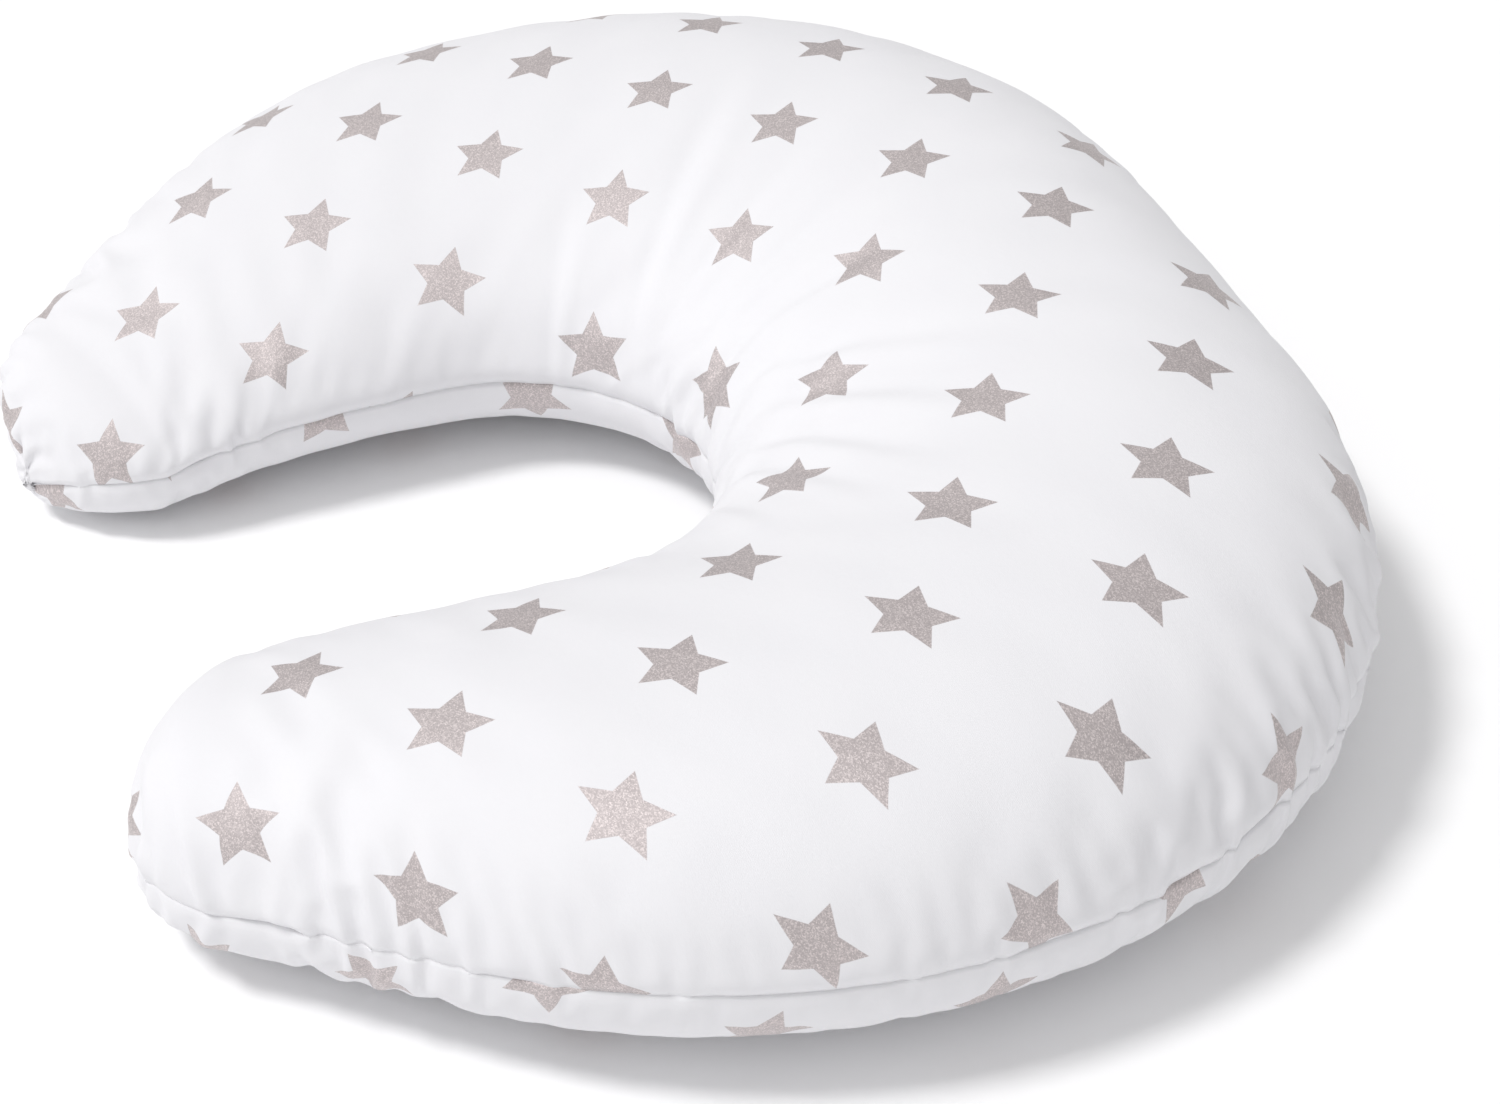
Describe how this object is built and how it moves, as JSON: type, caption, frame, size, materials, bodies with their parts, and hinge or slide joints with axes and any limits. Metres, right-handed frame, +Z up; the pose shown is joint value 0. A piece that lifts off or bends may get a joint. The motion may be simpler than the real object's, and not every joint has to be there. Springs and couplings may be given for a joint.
{
  "type": "nursing pillow",
  "caption": "C-shaped fibre-filled nursing pillow in a removable two-panel cotton cover with a star print and a coil zip along the outer seam.",
  "frame": {"origin": "centre of the bounding box's bottom face, on the surface that the pillow lies on", "axes": "+Z up; +Y from the opening between the arms towards the crown; +X to the right arm, seen from the opening with the crown behind it"},
  "size_m": [0.6002, 0.4657, 0.126],
  "materials": {
    "cover_cotton": "matte",
    "sewing_thread": "satin",
    "label_satin": "satin",
    "zip_tape": "matte",
    "zip_coil": "satin",
    "zip_metal": "satin",
    "zip_stops": "satin",
    "casing_cloth": "matte",
    "fibre": "matte"
  },
  "bodies": {
    "pillow": {"cover_top_panel": "cover_cotton", "cover_bottom_panel": "cover_cotton", "cover_seam_thread": "sewing_thread", "cover_care_label": "label_satin", "zip_tape_upper": "zip_tape", "zip_tape_lower": "zip_tape", "zip_coil_upper": "zip_coil", "zip_coil_lower": "zip_coil", "zip_top_stops": "zip_stops", "zip_bottom_stop": "zip_stops", "zip_topstitch": "sewing_thread", "zip_bar_tacks": "sewing_thread", "inner_casing_top": "casing_cloth", "inner_casing_bottom": "casing_cloth", "casing_seam_thread": "sewing_thread", "casing_closing_stitch": "sewing_thread", "inner_care_label": "label_satin", "fibre_fill": "fibre"},
    "slider": {"zip_slider": "zip_metal"},
    "pull": {"zip_pull_tab": "zip_metal"}
  },
  "joints": [
    {"name": "zip_travel", "type": "hinge", "parent": "pillow", "child": "slider", "pos_m": [-0.07, 0.00296, 0.05], "axis": [0, 0, 1], "range_deg": [0, 71.5]},
    {"name": "pull_tab_swing", "type": "hinge", "parent": "slider", "child": "pull", "pos_m": [-0.12295, 0.22822, 0.05], "axis": [0, 0, -1], "range_deg": [0, 175]}
  ]
}
